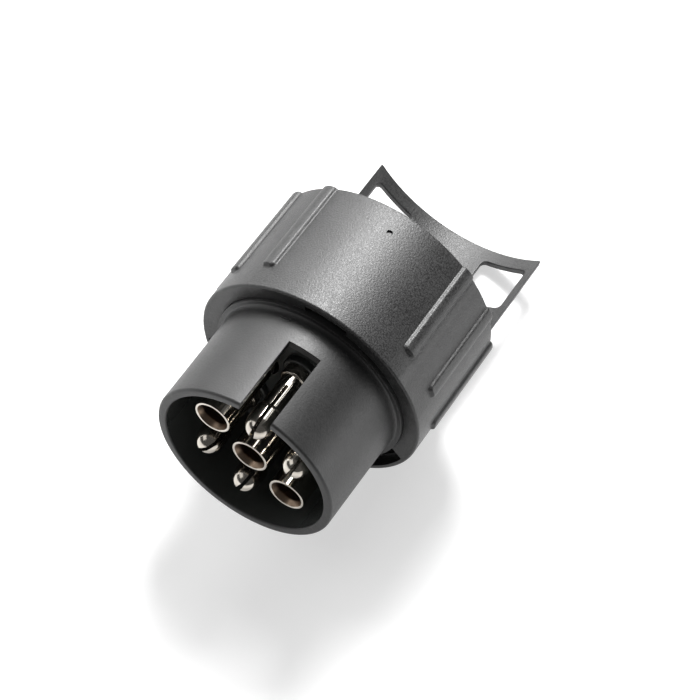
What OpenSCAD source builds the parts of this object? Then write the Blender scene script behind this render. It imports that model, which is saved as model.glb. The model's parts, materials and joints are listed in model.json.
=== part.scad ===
// Short trailer wiring adapter: a keyed seven-pole plug in front, a ribbed drum with a
// thirteen-pole socket behind it, and a guard reaching back under the second plug.
// Millimetres. +Y runs along the connector from the plug's mouth to the guard, +Z points
// to the keyway, and the origin is on the axis, halfway along the neck. Distances along
// the connector are drawn from the drum's front face, and each node is moved from there.

/* [Keyed neck] */
// Outside diameter of the neck
neck_d = 35; // [34:0.1:42]
// Wall of the neck around the contacts
neck_wall = 1.7; // [1.2:0.02:2.1]
// Length of the neck, from its mouth to the drum's front face
neck_l = 20.6; // [19.2:0.1:25]
// Width of the keyway
key_w = 6.1; // [4:0.1:7.4]
// Length of the keyway from the mouth
key_l = 15.2; // [10:0.1:16]
// Height of the flared collar where the neck meets the drum
collar_h = 0.6; // [0.4:0.1:1]

/* [Contacts of the plug] */
// Radius of the circle that the six outer contacts stand on
pole_r = 9.42; // [8.6:0.01:11.4]
// Outside diameter of a tube contact
tube_d = 6.9; // [5.8:0.01:8.3]
// Bore of a tube contact
tube_bore_d = 5; // [4.2:0.1:6]
// Distance of the tube ends behind the mouth
tube_inset = 1.75; // [1:0.05:3]
// Diameter of a split pin at its head
pin_d = 5; // [4.3:0.1:5.7]
// Diameter of a split pin behind its head
pin_shank_d = 4.1; // [3.5:0.1:4.2]
// Length of a split pin's head
pin_head_l = 5.9; // [4.5:0.1:6.5]
// Distance of the pin tips behind the mouth
pin_inset = 0.4; // [0.3:0.1:3]
// Width of the slit in a split pin
slit_w = 0.65; // [0.4:0.05:0.9]
// Length of the slit in a split pin
slit_l = 10.7; // [7:0.1:11]

/* [Drum] */
// How far the drum stands out from the neck at its front
drum_step = 4.5; // [3.8:0.05:5.4]
// Draft of the drum: how much smaller its diameter is at the rear rim
drum_draft = 0.4; // [0:0.1:0.6]
// Length of the drum
drum_l = 24.8; // [22:0.1:30]
// Wall of the drum
drum_wall = 1.2; // [1:0.1:1.4]
// Radius of the drum's rounded front edge
drum_edge_r = 0.9; // [0.5:0.1:1.1]
// Thickness of the drum's front wall
front_wall = 2; // [1.8:0.1:3]
// Number of grip ribs on each side
ribs_per_side = 5; // [3:1:5]
// Angle between neighbouring grip ribs
rib_pitch_a = 25; // [20:1:26]
// Angle of the first grip rib from the keyway
rib_first_a = 40; // [35:1:41]
// Height of a grip rib
rib_h = 0.7; // [0.5:0.1:1.2]
// Radius of a grip rib's crest
rib_crest_r = 1.7; // [1.2:0.1:2]
// Distance of the ribs' front ends behind the drum's front face
rib_start = 4.9; // [3:0.1:8]

/* [Rear guard] */
// How far the guard's inside stands out from the drum
guard_step = 2.7; // [2.3:0.05:3.2]
// Wall of the guard
guard_wall = 1.3; // [1:0.1:1.8]
// Width of the guard
guard_w = 35; // [34:0.5:36]
// Length of the guard behind the drum's rear rim
guard_l = 32.1; // [27:0.1:38]
// Distance from a window to the guard's free end
window_end_gap = 2.85; // [2:0.05:4]
// Length of each window
window_l = 10; // [7:0.1:11]
// Width of the web between the two windows
window_web = 15.6; // [14:0.1:17]
// Width of the strut beside each window
window_strut = 1.35; // [1.2:0.05:2]

/* [Thirteen-pole socket] */
// Width of the round channel between the contact block and the drum
channel_w = 4.3; // [3.8:0.02:5.2]
// Depth of the block's face inside the drum's rim
block_inset = 1.5; // [0.5:0.1:3]
// Radius of the circle of the eight outer contacts
outer_ring_r = 12.4; // [12:0.1:12.8]
// Radius of the circle of the five inner contacts
inner_ring_r = 6; // [5.2:0.1:6.6]
// Outside diameter of a socket contact
socket_contact_d = 4.1; // [3.5:0.01:4.9]
// Bore of a socket contact
socket_bore_d = 2.5; // [2.1:0.1:3]

/* [Hidden] */
$fn = 96;

// the origin's distance in front of the drum's front face
origin_l = 11.1;

// cut-through allowance, and the clearance between pieces that are fitted together
eps = 0.2;
fit = 0.05;
loose = 0.1;

// plug shell
neck_r = neck_d / 2;
mouth_y = -neck_l;
mouth_chamfer = 0.5;
mouth_inner_chamfer = 0.3;
floor_front = -4.2;
floor_back = 2;
collar_r = neck_r + 0.45;
flare_l = 1.6;
seat_r = neck_r + 1.15;
seat_l = 1;
skirt_end = 9.4;
skirt_wall = 1.7;
pin_collar_d = pin_d + 1.6;
pin_collar_l = 1.25;
tick_a = [-24, -17.5];
tick_y = [-1.9, -1.2];

// plug contacts: angles from the keyway, clockwise when seen from the rear
pin_angles = [0, 60, 180, -120];
tube_angles = [-60, 120];
slit_angles = [0, 12, 19, 41];
pin_shoulder_l = 3.2;
pin_tip_y = mouth_y + pin_inset;
tube_tip_y = mouth_y + tube_inset;
tube_bore_end = -3;
tube_mouth_r = tube_bore_d / 2 + 0.275 * (tube_d - tube_bore_d);
tube_mouth_l = 1.1;
flange_l = 1;
pin_flange_d = pin_d + 1.8;
tube_flange_d = tube_d + 0.9;
post_d = 3.8;
tail_d = 2.2;

// link board, inside the skirt
board_y = [7.5, 9.1];
board_r = neck_r - skirt_wall - 0.2;

// drum
drum_r = neck_r + drum_step;
bore_r = drum_r - drum_wall;
ledge_y = [skirt_end - 1.4, skirt_end + 0.2];
opening_a = 109;
opening_r = drum_r - 0.8;
opening_inner_r = seat_r - 0.35;
top_window_a = 12;
top_window_r = drum_r - 1.7;
gate_y = drum_l - 4.7;
gate_d = 1.1;
gate_depth = 0.25;
bore_key_w = 3.5;
bore_key_h = 2;

// rear guard
guard_r = drum_r + guard_step;
guard_end = drum_l + guard_l;
ramp_end = drum_l - 3.3;
ramp_start = ramp_end - 6.5;
guard_top_z = 0;
guard_floor_z = -(guard_r + guard_wall + 1);
guard_tip_r = 0.4;
window_corner_r = 0.8;
window_w = guard_w / 2 - window_strut - window_web / 2;

// thirteen-pole socket: a flange and the contact block that stands on it
disc_y = [ledge_y[1] + 0.1, ledge_y[1] + 2.6];
disc_r = bore_r - 0.2;
disc_recess_r = board_r - 0.4;
disc_recess_l = 1.2;
block_r = bore_r - channel_w;
block_end = drum_l - block_inset;
face_hole_d = 3;
face_l = 1;
outer_count = 8;
inner_count = 5;
socket_contact_y = [board_y[1] + 0.15, block_end - face_l - 0.1];
socket_bore_l = 8;
socket_tail_d = 1.3;
socket_tail_y = board_y[0] + 0.3;
gasket_y = [disc_y[1] + 0.05, disc_y[1] + 1.05];
gasket_gap = 0.9;

// screws that clamp the contact block and its flange to the plug shell
screw_channel_d = 4.4;
screw_r = block_r - screw_channel_d / 2 - 0.6;
screw_angles = [-90, 90];
screw_shank_d = 2;
screw_head_d = 3.8;
screw_head_l = 1.4;
screw_tip_y = 3.4;
screw_seat_y = disc_y[1] + 1.2;
screw_hole_end = 3;
boss_d = 4.6;
boss_end = board_y[0] - 0.1;
recess_w = 0.5;
recess_l = 2.4;
recess_depth = 0.8;

// seal between the skirt and the drum's ledge
seal_r = 0.85;

// ---------------------------------------------------------------- helpers

// moves from the drum's front face to the origin
module placed() {
    translate([0, origin_l, 0]) children();
}

// turns a profile drawn as [radius, y] about the connector's axis
module turned(angle = 360) {
    rotate([-90, 0, 0]) rotate_extrude(angle = angle) children();
}

// round bar on the connector's axis between two values of y
module bar(d, y0, y1) {
    translate([0, y0, 0]) rotate([-90, 0, 0]) cylinder(d = d, h = y1 - y0);
}

// moves to a radius and an angle from the keyway
module at(r, a) {
    translate([r * sin(a), 0, r * cos(a)]) children();
}

// part of a ring between two radii, two angles from the keyway and two values of y
module ring_sector(r0, r1, a0, a1, y0, y1) {
    rotate([0, a0 - 90, 0]) turned(a1 - a0)
        translate([r0, y0]) square([r1 - r0, y1 - y0]);
}

// box with rounded upright corners
module rounded_window(x0, x1, y0, y1, r) {
    h = guard_top_z - guard_floor_z;
    translate([0, 0, guard_floor_z]) {
        translate([x0 + r, y0, 0]) cube([x1 - x0 - 2 * r, y1 - y0, h]);
        translate([x0, y0 + r, 0]) cube([x1 - x0, y1 - y0 - 2 * r, h]);
        for (x = [x0 + r, x1 - r], y = [y0 + r, y1 - r])
            translate([x, y, 0]) cylinder(r = r, h = h);
    }
}

// points of a quarter round from an outside edge to a front face
function rounded_edge(r_out, y_front, r, steps = 6) =
    [for (i = [0 : steps]) [
        r_out - r + r * cos(90 * i / steps),
        y_front + r - r * sin(90 * i / steps)
    ]];

// radius of the drum's outside at a distance behind its front face
function drum_r_at(y) = drum_r - drum_draft / 2 * y / drum_l;

// ---------------------------------------------------------------- plug

module neck_profile() {
    inner_r = neck_r - neck_wall;
    skirt_r = neck_r - skirt_wall;
    polygon([
        [inner_r + mouth_inner_chamfer, mouth_y],
        [neck_r - mouth_chamfer, mouth_y],
        [neck_r, mouth_y + mouth_chamfer],
        [neck_r, -collar_h - flare_l],
        [collar_r, -collar_h],
        [collar_r, 0],
        [seat_r, 0],
        [seat_r, seat_l],
        [neck_r, seat_l],
        [neck_r, skirt_end],
        [skirt_r, skirt_end],
        [skirt_r, floor_back],
        [0, floor_back],
        [0, floor_front],
        [inner_r, floor_front],
        [inner_r, mouth_y + mouth_inner_chamfer]
    ]);
}

module plug_shell() {
    color("#26292b") placed() difference() {
        union() {
            turned() neck_profile();
            for (a = pin_angles) at(pole_r, a)
                bar(pin_collar_d, floor_front - pin_collar_l, floor_front + eps);
            for (a = screw_angles) at(screw_r, a)
                bar(boss_d, floor_back - eps, boss_end);
            ring_sector(neck_r - eps, collar_r, tick_a[0], tick_a[1], tick_y[0], tick_y[1]);
        }
        translate([-key_w / 2, mouth_y - eps, 0]) cube([key_w, key_l + eps, drum_r]);
        for (a = pin_angles) at(pole_r, a)
            bar(pin_d + 2 * fit, floor_front - pin_collar_l - eps, floor_back + eps);
        for (a = tube_angles) at(pole_r, a)
            bar(tube_d + 2 * fit, floor_front - eps, floor_back + eps);
        bar(tube_d + 2 * fit, floor_front - eps, floor_back + eps);
        for (a = screw_angles) at(screw_r, a)
            bar(screw_shank_d + fit, screw_hole_end, boss_end + eps);
    }
}

// what every plug contact has behind the shell's floor
module contact_root(flange_d) {
    bar(flange_d, floor_back, floor_back + flange_l);
    bar(post_d, floor_back + flange_l - eps, board_y[0]);
    bar(tail_d, board_y[0] - eps, board_y[1]);
}

module split_pin(a, slit_a) {
    head_r = pin_d / 2;
    head_end = pin_tip_y + pin_head_l;
    shoulder_y = floor_front - pin_shoulder_l;
    color("#cfd0cc") placed() at(pole_r, a) rotate([0, slit_a, 0]) difference() {
        union() {
            translate([0, pin_tip_y + head_r, 0]) sphere(r = head_r);
            bar(pin_d, pin_tip_y + head_r, head_end);
            bar(pin_shank_d, head_end - eps, shoulder_y + eps);
            bar(pin_d, shoulder_y, floor_back + eps);
            contact_root(pin_flange_d);
        }
        translate([-slit_w / 2, pin_tip_y - eps, -head_r - eps])
            cube([slit_w, slit_l + eps, pin_d + 2 * eps]);
    }
}

module tube_contact(r, a) {
    color("#cfd0cc") placed() at(r, a) difference() {
        union() {
            bar(tube_d, tube_tip_y, floor_back + eps);
            contact_root(tube_flange_d);
        }
        bar(tube_bore_d, tube_tip_y - eps, tube_bore_end);
        turned() polygon([
            [0, tube_tip_y - eps],
            [tube_mouth_r, tube_tip_y - eps],
            [tube_mouth_r, tube_tip_y],
            [tube_bore_d / 2, tube_tip_y + tube_mouth_l],
            [0, tube_tip_y + tube_mouth_l]
        ]);
    }
}

module link_board() {
    color("#2e5a3a") placed() difference() {
        bar(2 * board_r, board_y[0], board_y[1]);
        for (a = concat(pin_angles, tube_angles)) at(pole_r, a)
            bar(tail_d + 2 * loose, board_y[0] - eps, board_y[1] + eps);
        bar(tail_d + 2 * loose, board_y[0] - eps, board_y[1] + eps);
        socket_positions() bar(socket_tail_d + 2 * loose, board_y[0] - eps, board_y[1] + eps);
        for (a = screw_angles) at(screw_r, a)
            bar(screw_shank_d + 4 * loose, board_y[0] - eps, board_y[1] + eps);
    }
}

// ---------------------------------------------------------------- drum and guard

module drum_profile() {
    polygon(concat(
        [[neck_r + loose, seat_l + fit], [seat_r + loose, seat_l + fit], [seat_r + loose, 0]],
        [for (p = [0 : 6]) rounded_edge(drum_r, 0, drum_edge_r)[6 - p]],
        [
            [drum_r_at(drum_l), drum_l],
            [bore_r, drum_l],
            [bore_r, ledge_y[1]],
            [neck_r + 2 * loose, ledge_y[1]],
            [neck_r + 2 * loose, ledge_y[0]],
            [bore_r, ledge_y[0]],
            [bore_r, front_wall],
            [neck_r + loose, front_wall]
        ]
    ));
}

module grip_ribs() {
    for (side = [-1, 1], i = [0 : ribs_per_side - 1])
        at(drum_r + rib_h - rib_crest_r, side * (rib_first_a + i * rib_pitch_a))
            bar(2 * rib_crest_r, rib_start, drum_l);
}

module guard() {
    outer_r = guard_r + guard_wall;
    bite_r = drum_r - drum_wall / 2;
    difference() {
        intersection() {
            turned() polygon([
                [bite_r, ramp_start],
                [drum_r_at(ramp_start), ramp_start],
                [outer_r, ramp_end],
                [outer_r, guard_end],
                [guard_r, guard_end],
                [guard_r, drum_l],
                [bite_r, drum_l]
            ]);
            rounded_window(-guard_w / 2, guard_w / 2, -guard_end, guard_end, guard_tip_r);
        }
        for (side = [-1, 1])
            translate([side * (window_web + window_w) / 2, 0, 0])
                rounded_window(-window_w / 2, window_w / 2,
                    guard_end - window_end_gap - window_l, guard_end - window_end_gap,
                    window_corner_r);
    }
}

module drum_shell() {
    color("#303335") placed() {
        difference() {
            union() {
                turned() drum_profile();
                difference() {
                    grip_ribs();
                    bar(2 * bore_r + drum_wall, -eps, drum_l + eps);
                }
                guard();
            }
            ring_sector(opening_inner_r, opening_r, opening_a, 360 - opening_a,
                -eps, front_wall + eps);
            ring_sector(opening_inner_r, top_window_r, -top_window_a, top_window_a,
                -eps, front_wall + eps);
            translate([0, gate_y, drum_r_at(gate_y) - gate_depth]) cylinder(d = gate_d, h = 1);
        }
        translate([-bore_key_w / 2, gasket_y[1] + 1, -bore_r - drum_wall / 2])
            cube([bore_key_w, drum_l - gasket_y[1] - 2, bore_key_h + drum_wall / 2]);
    }
}

// ---------------------------------------------------------------- thirteen-pole socket

// centre of socket contact k: eight on the outer ring, then five on the inner one
module socket_at(k) {
    if (k <= outer_count)
        at(outer_ring_r, (k - 0.5) * 360 / outer_count) children();
    else
        at(inner_ring_r, (k - outer_count - 0.5) * 360 / inner_count) children();
}

module socket_positions() {
    for (k = [1 : outer_count + inner_count]) socket_at(k) children();
}

module insert_flange() {
    color("#1d2021") placed() difference() {
        bar(2 * disc_r, disc_y[0], disc_y[1]);
        bar(2 * disc_recess_r, disc_y[0] - eps, disc_y[0] + disc_recess_l);
        socket_positions() bar(socket_contact_d + 2 * fit, disc_y[0], disc_y[1] + eps);
        for (a = screw_angles) at(screw_r, a)
            bar(screw_shank_d + 2 * loose, disc_y[0] - eps, disc_y[1] + eps);
    }
}

module contact_block() {
    color("#1d2021") placed() difference() {
        bar(2 * block_r, disc_y[1], block_end);
        socket_positions() {
            bar(socket_contact_d + 2 * fit, disc_y[1] - eps, block_end - face_l);
            bar(face_hole_d, block_end - face_l - eps, block_end + eps);
        }
        for (a = screw_angles) at(screw_r, a) {
            bar(screw_channel_d, screw_seat_y, block_end + eps);
            bar(screw_shank_d + 2 * loose, disc_y[1] - eps, screw_seat_y + eps);
        }
    }
}

module socket_contact(k) {
    color("#cfd0cc") placed() socket_at(k) difference() {
        union() {
            bar(socket_contact_d, socket_contact_y[0], socket_contact_y[1]);
            bar(socket_tail_d, socket_tail_y, socket_contact_y[0] + eps);
        }
        bar(socket_bore_d, socket_contact_y[1] - socket_bore_l, socket_contact_y[1] + eps);
    }
}

// ---------------------------------------------------------------- seals and screws

module shell_seal() {
    color("#101112") placed() turned()
        translate([neck_r + seal_r, ledge_y[0] - seal_r - fit]) circle(r = seal_r);
}

module socket_gasket() {
    color("#101112") placed() difference() {
        bar(2 * bore_r - 2 * loose, gasket_y[0], gasket_y[1]);
        bar(2 * block_r + 2 * gasket_gap, gasket_y[0] - eps, gasket_y[1] + eps);
    }
}

module clamp_screws() {
    head_end = screw_seat_y + screw_head_l;
    color("#b9bbbd") placed() for (a = screw_angles) at(screw_r, a) difference() {
        union() {
            bar(screw_head_d, screw_seat_y, head_end);
            bar(screw_shank_d, screw_tip_y, screw_seat_y + eps);
        }
        for (turn = [0, 90]) rotate([0, turn, 0])
            translate([-recess_w / 2, head_end - recess_depth, -recess_l / 2])
                cube([recess_w, recess_depth + eps, recess_l]);
    }
}

// ---------------------------------------------------------------- nodes

plug_shell();
drum_shell();
insert_flange();
contact_block();
link_board();
split_pin(pin_angles[0], slit_angles[0]);  // split_pin_1
split_pin(pin_angles[1], slit_angles[1]);  // split_pin_2
split_pin(pin_angles[2], slit_angles[2]);  // split_pin_3
split_pin(pin_angles[3], slit_angles[3]);  // split_pin_4
tube_contact(0, 0);  // tube_contact_1
tube_contact(pole_r, tube_angles[0]);  // tube_contact_2
tube_contact(pole_r, tube_angles[1]);  // tube_contact_3
socket_contact(1);  // socket_contact_01
socket_contact(2);  // socket_contact_02
socket_contact(3);  // socket_contact_03
socket_contact(4);  // socket_contact_04
socket_contact(5);  // socket_contact_05
socket_contact(6);  // socket_contact_06
socket_contact(7);  // socket_contact_07
socket_contact(8);  // socket_contact_08
socket_contact(9);  // socket_contact_09
socket_contact(10);  // socket_contact_10
socket_contact(11);  // socket_contact_11
socket_contact(12);  // socket_contact_12
socket_contact(13);  // socket_contact_13
shell_seal();
socket_gasket();
clamp_screws();
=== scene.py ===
import json
import math

import bmesh
import bpy
from mathutils import Matrix, Vector


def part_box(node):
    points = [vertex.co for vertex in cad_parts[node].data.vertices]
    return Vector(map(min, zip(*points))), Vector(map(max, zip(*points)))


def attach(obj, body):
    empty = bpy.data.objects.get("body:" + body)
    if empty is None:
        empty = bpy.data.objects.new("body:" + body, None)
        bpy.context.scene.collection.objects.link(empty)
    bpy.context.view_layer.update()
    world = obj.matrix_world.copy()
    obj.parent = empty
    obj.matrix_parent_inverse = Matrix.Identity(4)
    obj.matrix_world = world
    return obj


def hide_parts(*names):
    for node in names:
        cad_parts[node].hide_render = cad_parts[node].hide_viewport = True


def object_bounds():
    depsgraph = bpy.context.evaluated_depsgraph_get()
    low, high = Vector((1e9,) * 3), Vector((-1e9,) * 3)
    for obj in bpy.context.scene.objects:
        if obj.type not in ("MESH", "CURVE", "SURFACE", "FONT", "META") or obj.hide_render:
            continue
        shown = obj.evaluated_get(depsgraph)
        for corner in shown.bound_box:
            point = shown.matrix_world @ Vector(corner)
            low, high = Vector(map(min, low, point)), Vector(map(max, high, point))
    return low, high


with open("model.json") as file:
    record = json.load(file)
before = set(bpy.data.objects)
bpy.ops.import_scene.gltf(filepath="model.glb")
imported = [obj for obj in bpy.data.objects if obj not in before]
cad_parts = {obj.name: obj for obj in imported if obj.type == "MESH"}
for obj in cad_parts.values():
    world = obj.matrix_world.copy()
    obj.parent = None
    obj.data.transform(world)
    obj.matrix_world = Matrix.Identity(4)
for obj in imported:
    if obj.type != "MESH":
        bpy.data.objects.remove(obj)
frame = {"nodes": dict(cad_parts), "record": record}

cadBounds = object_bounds()
mm = 0.001


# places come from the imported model, in millimetres; y counts from the drum's front face

drumFront = Vector((0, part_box("drum_shell")[0][1], 0))


def nodeBox(node):
    low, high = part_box(node)
    return (Vector(low) - drumFront) / mm, (Vector(high) - drumFront) / mm


def nodeAxis(node):  # where a turned contact stands: x and z of its centre line
    low, high = nodeBox(node)
    return (low.x + high.x) / 2, (low.z + high.z) / 2


plugLow, plugHigh = nodeBox("plug_shell")
screwLow, screwHigh = nodeBox("clamp_screws")
screwHead = {"radius": 1.9, "length": 1.4}
screwAt = screwHigh.x - screwHead["radius"]
mountRadius = {m["name"]: m["dims"].get("r_mm") for m in frame["record"]["mounts"]}


# the camera stands at the product shot's angle

cameraSetup = {
    "target": (2.55, 9.3, -0.27),  # mm
    "azimuth": 18.8,
    "elevation": 58.8,
    "roll": 15.75,
    "distance": 549.1,  # mm
    "lens": 163.05,  # mm
    "sensor": 36,  # mm
    "clip": (0.05, 20),  # metres
}


def placeCamera(setup):
    azimuth = math.radians(setup["azimuth"])
    elevation = math.radians(setup["elevation"])
    roll = math.radians(setup["roll"])
    back = Vector((
        math.sin(azimuth) * math.cos(elevation),
        -math.cos(azimuth) * math.cos(elevation),
        math.sin(elevation),
    ))
    right = (-back).cross(Vector((0, 0, 1))).normalized()
    up = right.cross(-back)
    rolledRight = math.cos(roll) * right + math.sin(roll) * up
    rolledUp = math.cos(roll) * up - math.sin(roll) * right
    lens = bpy.data.cameras.new("camera")
    lens.lens, lens.sensor_width = setup["lens"], setup["sensor"]
    lens.clip_start, lens.clip_end = setup["clip"]
    camera = bpy.data.objects.new("camera", lens)
    bpy.context.scene.collection.objects.link(camera)
    turn = Matrix((rolledRight, rolledUp, back)).transposed().to_4x4()
    place = (Vector(setup["target"]) + back * setup["distance"]) * mm + drumFront
    camera.matrix_world = Matrix.Translation(place) @ turn
    bpy.context.scene.camera = camera


placeCamera(cameraSetup)
print("camera placed")


def softened(corners, steps=5):
    # rounds each corner (a, b, radius) of a closed outline with an arc
    points = []
    count = len(corners)
    for i, (cornerA, cornerB, radius) in enumerate(corners):
        corner = Vector((cornerA, cornerB))
        before = Vector(corners[i - 1][:2]) - corner
        after = Vector(corners[(i + 1) % count][:2]) - corner
        reachBefore, reachAfter = before.length, after.length
        before.normalize()
        after.normalize()
        half = math.acos(max(-1, min(1, before.dot(after)))) / 2
        if radius <= 0 or half > math.radians(89.5):
            points.append((cornerA, cornerB))
            continue
        reach = min(radius / math.tan(half), reachBefore * 0.49, reachAfter * 0.49)
        arcRadius = reach * math.tan(half)
        centre = corner + (before + after).normalized() * (arcRadius / math.sin(half))
        start, end = corner + before * reach - centre, corner + after * reach - centre
        startAngle = math.atan2(start.y, start.x)
        sweep = (math.atan2(end.y, end.x) - startAngle + math.pi) % (2 * math.pi) - math.pi
        for k in range(steps + 1):
            angle = startAngle + sweep * k / steps
            points.append((
                centre.x + arcRadius * math.cos(angle),
                centre.y + arcRadius * math.sin(angle),
            ))
    return points


def evenAngles(steps, start=0, end=360):
    # in degrees; a part turn has its last angle too, a whole turn closes on its first
    count = steps + (end - start < 360)
    return [math.radians(start + (end - start) * k / steps) for k in range(count)]


def turnProfile(bm, profile, angles, centre=(0, 0), wholeTurn=True, radiusAt=None):
    # turns a closed outline of (radius, y) about a line along Y; angles run from +Z towards +X
    rows = []
    for radius, y in profile:
        if radius < 1e-6:
            rows.append([bm.verts.new((centre[0], y, centre[1]))] * len(angles))
            continue
        row = []
        for angle in angles:
            reach = radiusAt(radius, y, angle) if radiusAt else radius
            row.append(bm.verts.new((
                centre[0] + reach * math.sin(angle), y, centre[1] + reach * math.cos(angle),
            )))
        rows.append(row)
    count = len(angles)
    for i, row in enumerate(rows):
        following = rows[(i + 1) % len(rows)]
        for k in range(count if wholeTurn else count - 1):
            ring = [row[k], row[(k + 1) % count], following[(k + 1) % count], following[k]]
            corners = [v for n, v in enumerate(ring) if v not in ring[:n]]
            if len(corners) > 2:
                bm.faces.new(corners)
    if not wholeTurn:
        bm.faces.new([row[0] for row in rows])
        bm.faces.new([row[-1] for row in reversed(rows)])


def prismInto(bm, outline, start, end, place):
    # a straight prism over a closed outline; place turns (a, b, height) into a point
    bottom = [bm.verts.new(place(a, b, start)) for a, b in outline]
    top = [bm.verts.new(place(a, b, end)) for a, b in outline]
    for k in range(len(outline)):
        n = (k + 1) % len(outline)
        bm.faces.new((bottom[k], bottom[n], top[n], top[k]))
    bm.faces.new(bottom)
    bm.faces.new(list(reversed(top)))


def meshPiece(name, bm):
    bmesh.ops.recalc_face_normals(bm, faces=bm.faces)
    for vert in bm.verts:
        vert.co = vert.co * mm + drumFront
    mesh = bpy.data.meshes.new(name)
    bm.to_mesh(mesh)
    bm.free()
    piece = bpy.data.objects.new(name, mesh)
    bpy.context.scene.collection.objects.link(piece)
    return piece


def settle(piece):  # bakes the modifiers into the mesh
    graph = bpy.context.evaluated_depsgraph_get()
    mesh = bpy.data.meshes.new_from_object(piece.evaluated_get(graph))
    piece.modifiers.clear()
    old, piece.data = piece.data, mesh
    bpy.data.meshes.remove(old)


def combine(piece, other, operation):
    modifier = piece.modifiers.new(operation, "BOOLEAN")
    modifier.operation, modifier.object, modifier.solver = operation, other, "MANIFOLD"
    settle(piece)
    mesh = other.data
    bpy.data.objects.remove(other)
    bpy.data.meshes.remove(mesh)


weldDistance = 0.0008 * mm  # points nearer than this become one
sliverLength = 0.0005 * mm  # edges shorter than this are removed


def finishPiece(piece, material, nodes, sharpAngle=34):
    mesh = piece.data
    bm = bmesh.new()
    bm.from_mesh(mesh)
    bmesh.ops.remove_doubles(bm, verts=bm.verts, dist=weldDistance)
    bmesh.ops.dissolve_degenerate(bm, edges=bm.edges, dist=sliverLength)
    bm.to_mesh(mesh)
    bm.free()
    mesh.polygons.foreach_set("use_smooth", [True] * len(mesh.polygons))
    mesh.set_sharp_from_angle(angle=math.radians(sharpAngle))
    weighted = piece.modifiers.new("weightedNormals", "WEIGHTED_NORMAL")
    weighted.keep_sharp = True
    mesh.materials.clear()
    mesh.materials.append(material)
    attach(piece, "root")
    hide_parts(*nodes)
    print("made", piece.name, len(mesh.polygons), "faces")


def hexColour(code):  # sRGB hex to a linear colour
    channels = [int(code[k:k + 2], 16) / 255 for k in (1, 3, 5)]
    linear = [c / 12.92 if c <= 0.04045 else ((c + 0.055) / 1.055) ** 2.4 for c in channels]
    return (*linear, 1)


def perMetre(sizeMm):  # texture scale whose features are that many millimetres wide
    return 1000 / sizeMm


def addNode(material, kind, settings=None, links=None):
    node = material.node_tree.nodes.new(kind)
    for key, value in (settings or {}).items():
        if isinstance(key, int) or key in node.inputs:
            node.inputs[key].default_value = value
        else:
            setattr(node, key, value)
    for key, source in (links or {}).items():
        material.node_tree.links.new(source, node.inputs[key])
    return node


def newMaterial(name):
    material = bpy.data.materials.new(name)
    material.use_nodes = True
    material.node_tree.nodes.clear()
    return material


def closeMaterial(material, shader):
    addNode(material, "ShaderNodeOutputMaterial", links={"Surface": shader.outputs[0]})
    return material


# black glass-filled polyamide: a dull dark grey that the studio light lifts, with the fine
# grain of a spark-eroded mould; a smoother mould gives a soft satin
polyamide = {
    "drum": {
        "dark": "#0f0f0f", "light": "#303030", "worn": "#3c3c3c",
        "speckle": 1.3, "cloud": 6, "grain": 0.26, "depth": 0.045, "rough": (0.34, 0.58),
    },
    "neck": {
        "dark": "#141414", "light": "#262626", "worn": "#353535",
        "speckle": 0.6, "cloud": 2.6, "grain": 0.28, "depth": 0.02, "rough": (0.42, 0.58),
    },
    # the well's colours are painted light grey: painted fill light for the deep, shaded well, not
    # the plastic's own tone
    "well": {
        "dark": "#383a39", "light": "#3f4140", "worn": "#3c3e3d",
        "speckle": 0.2, "cloud": 6, "grain": 0.6, "depth": 0.002, "rough": (0.16, 0.26),
    },
    "insert": {
        "dark": "#121314", "light": "#232426", "worn": "#333436",
        "speckle": 0.4, "cloud": 6, "grain": 0.42, "depth": 0.005, "rough": (0.34, 0.46),
    },
}


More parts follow.
